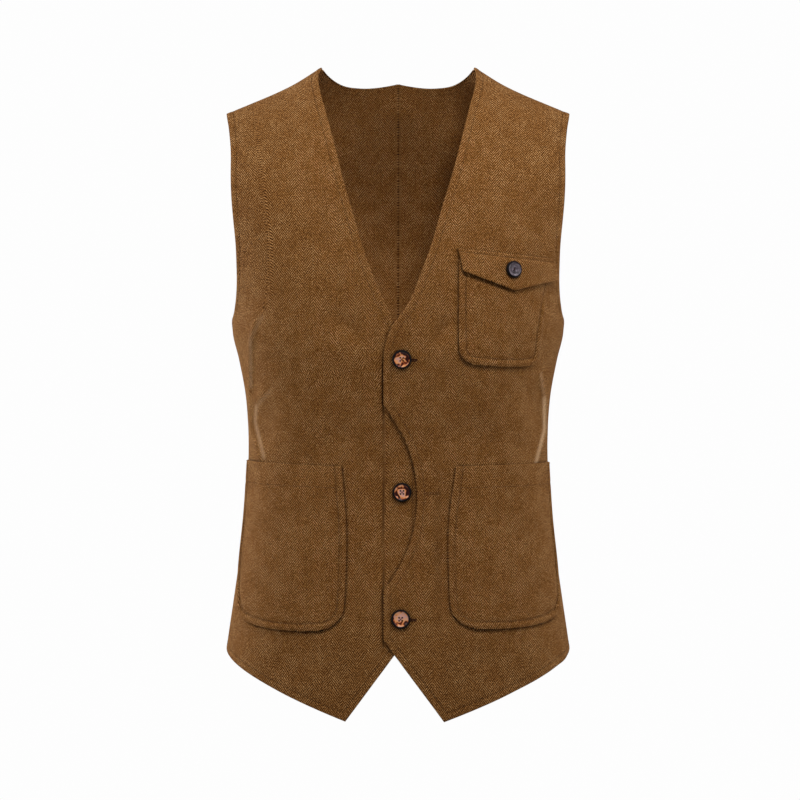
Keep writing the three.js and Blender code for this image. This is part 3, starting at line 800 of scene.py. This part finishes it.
def paint_crest_highlights(mesh, side):
    """Marks on a front's cloth how strongly a painted highlight lies on each point, along the crest of
    a fold.
    """
    places = np.empty(3 * len(mesh.vertices), np.float32)
    mesh.vertices.foreach_get("co", places)
    x, _, z = (places.reshape(-1, 3) / MM).T
    bright = np.zeros(len(x))
    for x1, z1, x2, z2, width, share in zip(*CREST_HIGHLIGHTS[side].values()):
        dx, dz = x2 - x1, z2 - z1
        along = np.clip(((np.abs(x) - x1) * dx + (z - z1) * dz) / (dx * dx + dz * dz), 0, 1)
        off = np.hypot(np.abs(x) - x1 - along * dx, z - z1 - along * dz)
        bright = np.maximum(bright, share * np.exp(-((off / width) ** 2)))
    mesh.attributes.new("crest", "FLOAT", "POINT").data.foreach_set("value", bright.astype(np.float32))


FRONTS = {}
for side in ("right", "left"):
    grid, armhole_row = front_grid(side)
    front, lines, cut = cloth_piece(
        f"cloth_front_{side}",
        grid,
        False,
        PANEL_WALL,
        stitched=("near", "foot", "far"),
        sewn=("top", "seam"),
        splits=(armhole_row, 0),
        mirrored=side == "right",
    )
    paint_crest_highlights(front.data, side)
    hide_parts(f"front_{side}")
    topstitch(f"stitching_front_{side}", lines, BROWN_THREAD)
    FRONTS[side] = front

# Backs: two halves of the same tweed, joined at the centre back, and sewn to the fronts at the
# sides and shoulders. The folds that both share come first, then each half's own.
BACK_ARMHOLE = table(
    "rise turn",
    (0, 87),
    (0.03, 80),
    (0.08, 75),
    (0.15, 69.5),
    (0.3, 62.5),
    (0.5, 58.6),
    (0.76, 57.2),
    (0.9, 58.8),
    (1, 61.4),
)
BACK_FOLDS = {
    "both": table(
        FOLD,
        (28, -300, 44, -500, 13, -3.0),
        (58, -330, 76, -480, 11, 2.3),
        (92, -180, 134, -300, 14, -3.2),
        (104, -372, 150, -346, 9, -2.6),
        (96, -402, 148, -384, 9, 2.3),
    ),
    "left": table(
        FOLD,
        (20, -210, 70, -262, 15, -1.3),
        (112, -428, 146, -470, 10, -1.4),
        (30, -540, 36, -600, 12, -1.6),
        (60, -60, 110, -92, 10, -1.0),
    ),
    "right": table(
        FOLD,
        (34, -170, 84, -196, 13, -1.5),
        (84, -300, 126, -330, 9, 1.3),
        (70, -520, 88, -604, 13, -1.8),
        (116, -450, 150, -432, 8, -1.5),
    ),
}
NECK_X, BACK_NECK_RISE, BACK_NECK_POWER, NECK_SHARE = 78, 0.857, 3, 6 / 13
BACK_WIDTH, BACK_LOWER_LENGTH, CENTRE_SEAM_X = 196, 340, 0.16


def back_grid(side):
    """Points of a back, row by row from its hem, the row where its armhole starts, and the column
    where its neckline ends."""
    seam_turn = 180 - SIDE_SEAM_TURN - SEAM_GAP_TURN
    share = shares(BACK_WIDTH, 56)
    hem_z = mix(BACK_HEM_Z, SIDE_HEM_Z, smooth(share))
    z = mix(hem_z[None], CHEST_Z, lower_rows(BACK_LOWER_LENGTH))
    lower = point_by_height(180 - seam_turn * share[None], z)
    climb = upper_rows()[:, None]
    neck_share = np.minimum(1, share / NECK_SHARE)[None]
    rise = climb * mix(BACK_NECK_RISE, 1, neck_share**BACK_NECK_POWER)
    outer_turn = look_up(BACK_ARMHOLE, "rise", "turn", climb)
    neck_turn = turn_for(NECK_X, half_width(1))
    past = (share[None] - NECK_SHARE) / (1 - NECK_SHARE)
    top_turn = np.where(past <= 0, neck_turn * neck_share, mix(neck_turn, outer_turn, past))
    upper = point_by_rise(180 - mix(outer_turn * share[None], top_turn, climb), rise)
    grid = np.concatenate([lower, upper])
    x, z = grid[..., 0], grid[..., 2]
    grid = raised(grid, True, folded(BACK_FOLDS["both"], x, z) + folded(BACK_FOLDS[side], x, z))
    grid[..., 0] = np.maximum(grid[..., 0], CENTRE_SEAM_X)
    return grid, len(lower), int(np.argmax(share >= NECK_SHARE))


for side in ("left", "right"):
    grid, armhole_row, neck_column = back_grid(side)
    back, lines, cut = cloth_piece(
        f"cloth_back_{side}",
        grid,
        True,
        PANEL_WALL,
        stitched=("foot", "far", "neck"),
        sewn=("near", "seam", "top"),
        splits=(armhole_row, neck_column),
        mirrored=side == "right",
    )
    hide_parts(f"back_{side}")
    topstitch(f"stitching_back_{side}", lines, BROWN_THREAD)

# Hip pockets: patches of tweed with rounded lower corners, topstitched on the fronts round three
# sides. Their mouths are turned in and held by one line of stitching.
PATCH_TWEED = tweed("patch_tweed", stitch_shade=0.3)
PATCH_WALL, PATCH_GAP, PATCH_WIDTH = 1.8, 0.75, 100
PATCH_LIFT = PANEL_WALL / 2 + PATCH_GAP + PATCH_WALL / 2
HIP_SHAPE = {
    "left": table(
        "down inner outer inner_z outer_z",
        (0, 57.5, 151, -410, -407),
        (0.35, 50.5, 154.5, -466, -462),
        (0.7, 50.5, 160, -522, -514),
        (1, 53, 163.5, -571, -560),
    ),
    "right": table(
        "down inner outer inner_z outer_z",
        (0, 55.8, 151, -410, -405),
        (0.35, 51.5, 154.5, -467, -459),
        (0.7, 52, 160, -524, -514),
        (1, 55, 162, -573, -562),
    ),
}


def patch_grid(side, shape, sag, corner_wide, corner_high, puff, steps, folds=None):
    """Points of a rounded patch on a front, row by row from its foot up to its mouth. steps are how
    many points lie across it, down it and round a corner."""
    across_steps, down_steps, corner_steps = steps
    straight = shares(PATCH_WIDTH, down_steps)
    straight = straight[straight <= 1] * (1 - corner_high)
    curve = np.sin(np.pi / 2 * np.arange(1, corner_steps + 1) / corner_steps)
    curve = 1 - corner_high + corner_high * curve
    down = np.concatenate([straight, curve])[::-1, None]
    into = np.clip((down - 1 + corner_high) / corner_high, 0, 1)
    drawn_in = corner_wide * (1 - np.sqrt(1 - into * into))
    across = mix(drawn_in, 1 - drawn_in, shares(PATCH_WIDTH, across_steps)[None])
    inner, outer, inner_z, outer_z = (
        look_up(shape, "down", name, down) for name in ("inner", "outer", "inner_z", "outer_z")
    )
    z = mix(inner_z, outer_z, across) - sag * down * np.sin(np.pi * across)
    grid = point_by_height(mix(turn_at(inner, inner_z), turn_at(outer, outer_z), across), z)
    bulge = puff * np.sin(np.pi * across) * np.cos(np.pi / 2 * down)
    x, z = grid[..., 0], grid[..., 2]
    lift = PATCH_LIFT + lift_at(side, x, z) + bulge
    if folds:
        lift = lift + folded(folds, x, z)
    return raised(grid, False, lift)


for side in ("left", "right"):
    grid = patch_grid(
        side,
        HIP_SHAPE[side],
        sag=7,
        corner_wide=0.15,
        corner_high=0.13,
        puff=1.6,
        steps=(30, 50, 16),
    )
    pocket, lines, cut = cloth_piece(
        f"cloth_hip_pocket_{side}",
        grid,
        False,
        PATCH_WALL,
        stitched=("near", "foot", "far"),
        welt=1.0,
        groove=0.8,
        hem_line=22,
        finish=PATCH_TWEED,
        mirrored=side == "right",
    )
    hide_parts(f"hip_pocket_{side}")
    topstitch(f"stitching_hip_pocket_{side}", lines, BROWN_THREAD)

# Chest pocket: a smaller patch on the left front, under a pointed flap that is sewn down along its
# top and buttons over the pocket's mouth.
CHEST_SHAPE = table(
    "down inner outer inner_z outer_z",
    (0, 60, 153.5, -204, -212),
    (0.5, 59.8, 145.2, -255, -262),
    (1, 60, 139, -306, -307.5),
)
CHEST_FOLDS = table(
    FOLD,
    (150, -226, 143.5, -250, 1.9, -1.9),
    (113.7, -276, 113.7, -304, 4, -1.3),
    (104, -276, 105, -298, 5, 1.1),
    (84, -240, 96, -268, 9, -0.9),
)
FLAP_WIDTH, FLAP_LENGTH = 100, 32
FLAP_RIDE, FLAP_RIDES_BY = PANEL_WALL / 2 + 2 * PATCH_GAP + 1.5 * PATCH_WALL + 0.7, 0.3
FLAP_STAND = 1.6
FLAP_TOP = ((59, -193), (154.5, -201))
FLAP_FOOT = ((63, -216), (113, -234.5), (156, -222.5))

grid = patch_grid(
    "left",
    CHEST_SHAPE,
    sag=3.3,
    corner_wide=0.14,
    corner_high=0.13,
    puff=0.8,
    steps=(36, 36, 14),
    folds=CHEST_FOLDS,
)
pocket, lines, cut = cloth_piece(
    "cloth_chest_pocket",
    grid,
    False,
    PATCH_WALL,
    stitched=("near", "foot", "far"),
    welt=0.9,
    groove=0.7,
    finish=PATCH_TWEED,
)
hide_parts("chest_pocket")
topstitch("stitching_chest_pocket", lines, BROWN_THREAD)


def flap_grid():
    """Points of the pointed flap, row by row from its foot up to its seam."""
    share = shares(FLAP_WIDTH, 26)
    middle = 0.5
    share[np.argmin(np.abs(share - middle))] = middle
    (top_x, top_z), (foot_x, foot_z) = (
        np.array([np.interp(share, np.linspace(0, 1, len(line)), values) for values in zip(*line)])
        for line in (FLAP_TOP, FLAP_FOOT)
    )
    down = shares(FLAP_LENGTH, 4, 7, 7)[::-1, None]
    x, z = mix(top_x[None], foot_x[None], down), mix(top_z[None], foot_z[None], down)
    grid = point_by_height(turn_at(x, z), z)
    ride = mix(PATCH_LIFT, FLAP_RIDE, smooth(down / FLAP_RIDES_BY)) + FLAP_STAND * down * down
    return raised(grid, False, ride + lift_at("left", grid[..., 0], grid[..., 2]))


flap, lines, cut = cloth_piece(
    "cloth_chest_flap",
    flap_grid(),
    False,
    PATCH_WALL,
    stitched=("top",),
    stitch_in=4,
    welt=0.5,
    groove=0.8,
    finish=PATCH_TWEED,
)
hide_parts("chest_flap")
topstitch("stitching_chest_flap", lines, BROWN_THREAD)

# Buttons: three of mottled horn with a dark rim, turned with a dished face and four holes. A
# darker, two-hole one fastens the flap. Each is sewn on with crossed thread.
BUTTON_TURNING = table(
    "t r h",
    (0, 0, 0),
    (1, 0.5, 0),
    (2, 0.76, 0.02),
    (3, 0.95, 0.26),
    (4, 1, 0.52),
    (5, 0.965, 0.84),
    (6, 0.88, 1),
    (7, 0.79, 0.95),
    (8, 0.67, 0.72),
    (9, 0.45, 0.6),
    (10, 0.2, 0.58),
    (11, 0, 0.58),
)
TURNED_STEPS, ROUND_STEPS, HOLE_SIDES = 67, 72, 20
BUTTON_SEAT = 0.25
BUTTON_SIZE, FLAP_BUTTON_SIZE = (9.5, 3.4), (8.5, 3)
TOUCHING = 1e-6
SHARPEST_SMOOTH_ANGLE = 50
MOTTLING_APART = (37.0, 11.0, 1)


def horn(name, stops, rim, ring_depth=0.0):
    """Polished horn, marbled in the tones of stops, with a dull rim. ring_depth is how strongly the
    lathe's rings show."""
    material, shader, bare = new_finish(name, Coat_Roughness=0.12, Specular_IOR_Level=0.2)
    grain = bare.node("Attribute", {"attribute_name": "grain"}, {}, "Vector")
    share = bare.node("Attribute", {"attribute_name": "out_share"}, {}, "Fac")
    veins = {"Vector": grain, "Scale": 0.15, "Detail": 1.5, "Distortion": 1.0}
    marble = bare.node("TexNoise", {}, veins)
    cloud = bare.node("TexNoise", {}, {"Vector": grain, "Scale": 0.5, "Detail": 3.0})
    heart = 1 - share.between(0.2, 0.6)
    tone = marble + (cloud - 0.5) * 0.16 + heart * 0.1
    colour = bare.node("ValToRGB", {"stops": stops}, {0: tone})
    colour = share.between(0.78, 0.82).mixed(colour, rim)
    bare.feed(shader.inputs["Base Color"], colour)
    edge = share.between(0.8, 0.84)
    bare.feed(shader.inputs["Roughness"], cloud * 0.2 + 0.2 + edge * 0.4)
    bare.feed(shader.inputs["Coat Weight"], (1 - edge) * 0.25)
    turning = (share * 60.0).math("SINE") * ring_depth + cloud * 0.3
    bump = bare.node("Bump", {}, {"Strength": 0.35, "Distance": 0.0002, "Height": turning}, "Normal")
    bare.feed(shader.inputs["Normal"], bump)
    return material


HORN = horn(
    "horn",
    [
        (0.39, srgb(52, 16, 13)),
        (0.45, srgb(112, 44, 28)),
        (0.49, srgb(214, 122, 66)),
        (0.56, srgb(244, 172, 112)),
        (0.68, srgb(222, 168, 156)),
    ],
    srgb(9, 5, 6),
)
DARK_HORN = horn(
    "dark_horn",
    [(0.35, srgb(58, 50, 56)), (0.5, srgb(92, 82, 90)), (0.65, srgb(140, 128, 138))],
    srgb(8, 5, 7),
    0.8,
)


def tree_of(cloth):
    return BVHTree.FromObject(cloth, bpy.context.evaluated_depsgraph_get())


def cloth_face(tree, x, z):
    """Where the outside of the cloth lies at x and z in the front view, and which way it faces."""
    spot, normal, _, _ = tree.ray_cast(Vector((x * MM, -1, z * MM)), Vector((0, 1, 0)))
    return spot, normal if normal.y < 0 else -normal


def turned_disc(name, size, finish):
    """A button without its holes, lying flat with its back at zero."""
    radius, height = size
    steps = np.linspace(0, BUTTON_TURNING["t"][-1], TURNED_STEPS)
    r, h = (look_up(BUTTON_TURNING, "t", k, steps)[:, None] for k in "rh")
    r = np.maximum(r, 0) * radius
    turn = np.linspace(0, 2 * math.pi, ROUND_STEPS, endpoint=False)[None]
    places = [r * np.cos(turn), r * np.sin(turn), h * height + 0 * turn]
    places = np.stack(places, -1).reshape(-1, 3)
    index = np.arange(len(places)).reshape(TURNED_STEPS, ROUND_STEPS)
    a, b = index[:-1], index[1:]
    faces = np.stack([a, np.roll(a, -1, 1), np.roll(b, -1, 1), b], -1).reshape(-1, 4)
    piece = mesh_piece(name, places, faces, finish)
    work = bmesh.new()
    work.from_mesh(piece.data)
    bmesh.ops.remove_doubles(work, verts=work.verts, dist=TOUCHING)
    work.to_mesh(piece.data)
    work.free()
    return piece


def drilled_mesh(piece, holes, height):
    """A disc's mesh with the sewing holes through it, each given by its place and radius."""
    drill = bmesh.new()
    for hole_x, hole_y, hole_radius in holes:
        bmesh.ops.create_cone(
            drill,
            cap_ends=True,
            segments=HOLE_SIDES,
            radius1=hole_radius * MM,
            radius2=hole_radius * MM,
            depth=3 * height * MM,
            matrix=Matrix.Translation(Vector((hole_x, hole_y, height / 2)) * MM),
        )
    drill_mesh = bpy.data.meshes.new("drill")
    drill.to_mesh(drill_mesh)
    drill.free()
    drill_piece = bpy.data.objects.new("drill", drill_mesh)
    bpy.context.collection.objects.link(drill_piece)
    cut = piece.modifiers.new("holes", "BOOLEAN")
    cut.object, cut.operation, cut.solver = drill_piece, "DIFFERENCE", "EXACT"
    depsgraph = bpy.context.evaluated_depsgraph_get()
    drilled = bpy.data.meshes.new_from_object(piece.evaluated_get(depsgraph))
    piece.modifiers.clear()
    bpy.data.objects.remove(drill_piece)
    return drilled


def button(name, cloth, x, z, size, holes, mottling, finish):
    """A turned button on the outside of a piece of cloth, at x and z in the front view, and the
    matrix that seats it there. mottling picks its part of the marbling."""
    spot, normal = cloth_face(tree_of(cloth), x, z)
    piece = turned_disc(name, size, finish)
    drilled = drilled_mesh(piece, holes, size[1])
    piece.data = drilled
    drilled.set_sharp_from_angle(angle=math.radians(SHARPEST_SMOOTH_ANGLE))
    flat = np.array([v.co[:] for v in drilled.vertices]) / MM
    marbled = flat + [mottling * apart for apart in MOTTLING_APART]
    grain = drilled.attributes.new("grain", "FLOAT_VECTOR", "POINT")
    grain.data.foreach_set("vector", marbled.astype(np.float32).ravel())
    from_middle = np.hypot(flat[:, 0], flat[:, 1]) / size[0]
    out_share = drilled.attributes.new("out_share", "FLOAT", "POINT")
    out_share.data.foreach_set("value", from_middle.astype(np.float32))
    turned = Vector((0, 0, 1)).rotation_difference(normal).to_matrix().to_4x4()
    seat = Matrix.Translation(spot + normal * BUTTON_SEAT * MM) @ turned
    drilled.transform(seat)
    return piece, seat


SEWING_RADIUS, STRANDS = 0.11, (-0.16, 0.16)
SEWING_RISE = [-1.1, 0.1, 0.3, 0.1, -1.1]


def button_thread(name, seat, pairs, level, finish):
    """Threads from hole to hole over a button's face, two strands to each pair of holes."""
    paths = []
    for start, end in pairs:
        start, end = np.array(start[:2]), np.array(end[:2])
        side = np.array([start[1] - end[1], end[0] - start[0]]) / np.linalg.norm(end - start)
        for strand in STRANDS:
            share = np.linspace(0, 1, 5)[:, None]
            flat = mix(start, end, share) + side * strand
            rise = level + np.array(SEWING_RISE)[:, None]
            paths.append(np.concatenate([flat, rise + 0 * flat[:, :1]], 1))
    turn = np.array(seat.to_3x3())
    place = np.array(seat.translation) / MM
    paths = np.array(paths) @ turn.T + place
    ups = np.broadcast_to(turn[:, 2], paths.shape)
    return threads(name, paths, ups, SEWING_RADIUS, finish)


HOLE_SPREAD, HOLE_RADIUS = 1.55, 0.9
FOUR_HOLES = [(a * HOLE_SPREAD, b * HOLE_SPREAD, HOLE_RADIUS) for a in (-1, 1) for b in (-1, 1)]
TWO_HOLES = [(0, -1.5, 0.85), (0, 1.5, 0.85)]
SEWING_THREAD = thread_finish("sewing_thread", srgb(88, 46, 26), srgb(44, 20, 12))
CROSSED = [(FOUR_HOLES[0], FOUR_HOLES[3]), (FOUR_HOLES[1], FOUR_HOLES[2])]
THREAD_LEVEL, FLAP_THREAD_LEVEL = 1.95, 1.7
BUTTONS = [
    ("top", "left", 3.8, -303.2, 32),
    ("middle", "right", 4, -436.2, 20),
    ("bottom", "left", 2.7, -562.4, 25),
]
for place, side, x, z, mottling in BUTTONS:
    made, seat = button(
        f"horn_button_{place}", FRONTS[side], x, z, BUTTON_SIZE, FOUR_HOLES, mottling, HORN
    )
    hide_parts(f"button_{place}")
    button_thread(f"button_thread_{place}", seat, CROSSED, THREAD_LEVEL, SEWING_THREAD)
made, seat = button(
    "dark_flap_button", flap, 115.5, -213.2, FLAP_BUTTON_SIZE, TWO_HOLES, 5, DARK_HORN
)
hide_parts("flap_button")
button_thread("button_thread_flap", seat, [TWO_HOLES], FLAP_THREAD_LEVEL, SEWING_THREAD)

# Buttonholes: cut level in the left front, from each button towards the side, and worked round
# with close stitches. The middle one stands empty beside its undone button.
HOLE_HALF_WIDTH, HOLE_STITCH_PITCH, ROUND_THE_HOLE = 0.45, 0.6, 400
HOLE_STITCH = ((-0.1, -0.35), (0.2, 0.22), (0.5, 0.32), (0.8, 0.2), (1.1, -0.3))
BUTTONHOLES = [
    ("top", 0.5, 19, -304.2, 0.28, SEWING_THREAD),
    ("middle", 27, 42, -437.5, 0.1, BROWN_THREAD),
    ("bottom", -0.5, 18, -563.2, 0.28, SEWING_THREAD),
]
tree = tree_of(FRONTS["left"])
for place, start_x, end_x, z, thickness, finish in BUTTONHOLES:
    half_length, centre_x = (end_x - start_x) / 2, (start_x + end_x) / 2
    walk = np.linspace(0, 2 * math.pi, ROUND_THE_HOLE, endpoint=False)
    ring = [centre_x + half_length * np.cos(walk), z + HOLE_HALF_WIDTH * np.sin(walk)]
    ring = np.stack(ring, -1)
    out = unit(np.stack([np.cos(walk) * HOLE_HALF_WIDTH, np.sin(walk) * half_length], -1))
    steps = np.linalg.norm(np.diff(ring, axis=0, append=ring[:1]), axis=1)
    walked = np.concatenate([[0], np.cumsum(steps)])[:-1]
    picks = np.searchsorted(walked, np.arange(0, walked[-1], HOLE_STITCH_PITCH))
    paths, ups = [], []
    for k in picks:
        path = []
        for reach, rise in HOLE_STITCH:
            spot, normal = cloth_face(tree, *(ring[k] + out[k] * reach))
            path.append(np.array(spot) / MM + np.array(normal) * rise)
            ups.append(np.array(normal))
        paths.append(path)
    paths, ups = np.array(paths), np.array(ups).reshape(-1, 5, 3)
    threads(f"buttonhole_{place}", paths, ups, thickness, finish)

# The floor is a pale round, well below the hem, in a white room. Light comes from soft lamps at
# both sides, in front, behind and above. Places and widths are in metres here.
FLOOR_Z, FLOOR_RADIUS = -1.45, 1.2
FLOOR_TONES = srgb(244, 243, 242), srgb(250, 249, 248)
WHITE, ROOM_LIGHT, FILL_LIGHT = (1.0, 1.0, 1.0), 0.985, 0.15
floor_mesh = bpy.data.meshes.new("floor")
ring = [
    (FLOOR_RADIUS * math.cos(a), FLOOR_RADIUS * math.sin(a), FLOOR_Z)
    for a in np.linspace(0, 2 * math.pi, 96, endpoint=False)
]
floor_mesh.from_pydata(ring, [], [list(range(len(ring)))])
floor = bpy.data.objects.new("floor", floor_mesh)
bpy.context.collection.objects.link(floor)
floor_finish, floor_shader, floor_wire = new_finish("floor", Roughness=0.8)
grain = floor_wire.node("TexNoise", {}, {"Scale": 6.0, "Detail": 3.0})
floor_wire.feed(floor_shader.inputs["Base Color"], grain.mixed(*FLOOR_TONES))
floor_mesh.materials.append(floor_finish)

world = bpy.data.worlds.new("studio")
world.use_nodes = True
studio = Wire(world.node_tree)
seen = studio.node("LightPath", {}, {})
backdrop = studio.node("Background", {}, {"Color": WHITE, "Strength": ROOM_LIGHT})
fill = studio.node("Background", {}, {"Color": WHITE, "Strength": FILL_LIGHT})
room = studio.node("MixShader", {}, {0: seen, 1: fill, 2: backdrop})
studio.feed(world.node_tree.nodes["World Output"].inputs["Surface"], room)
bpy.context.scene.world = world

# Each lamp's name, its place, the place that it is turned to, its width, and its power in watts.
LAMPS = [
    ("side_lamp_1", (-1.25, -0.95, 0.6), (-0.06, 0, 0.1), 0.3, 8.6),
    ("waist_lamp_1", (-1.6, 0.1, -0.4), (0, 0, -0.36), 0.25, 4.5),
    ("back_lamp_1", (-1.5, 0.8, 0.15), (0, 0, -0.35), 0.4, 19),
    ("side_lamp_3", (1.25, -0.95, 0.6), (0.06, 0, 0.1), 0.3, 5.4),
    ("waist_lamp_3", (1.6, 0.1, -0.4), (0, 0, -0.36), 0.25, 4.5),
    ("back_lamp_3", (1.5, 0.8, 0.15), (0, 0, -0.35), 0.4, 7),
    ("front_lamp", (0.3, -0.95, 0.7), (0, 0, 0.15), 0.25, 8.3),
    ("top_lamp", (0, 0.1, 2.0), (0, 0, -0.3), 1.6, 5),
]
for name, place, target, width, watts in LAMPS:
    lamp = bpy.data.lights.new(name, "AREA")
    lamp.shape, lamp.size, lamp.energy = "DISK", width, watts
    holder = bpy.data.objects.new(name, lamp)
    holder.location = place
    holder.rotation_euler = (Vector(target) - Vector(place)).to_track_quat("-Z", "Y").to_euler()
    bpy.context.collection.objects.link(holder)
bpy.context.scene.view_settings.view_transform = "Standard"
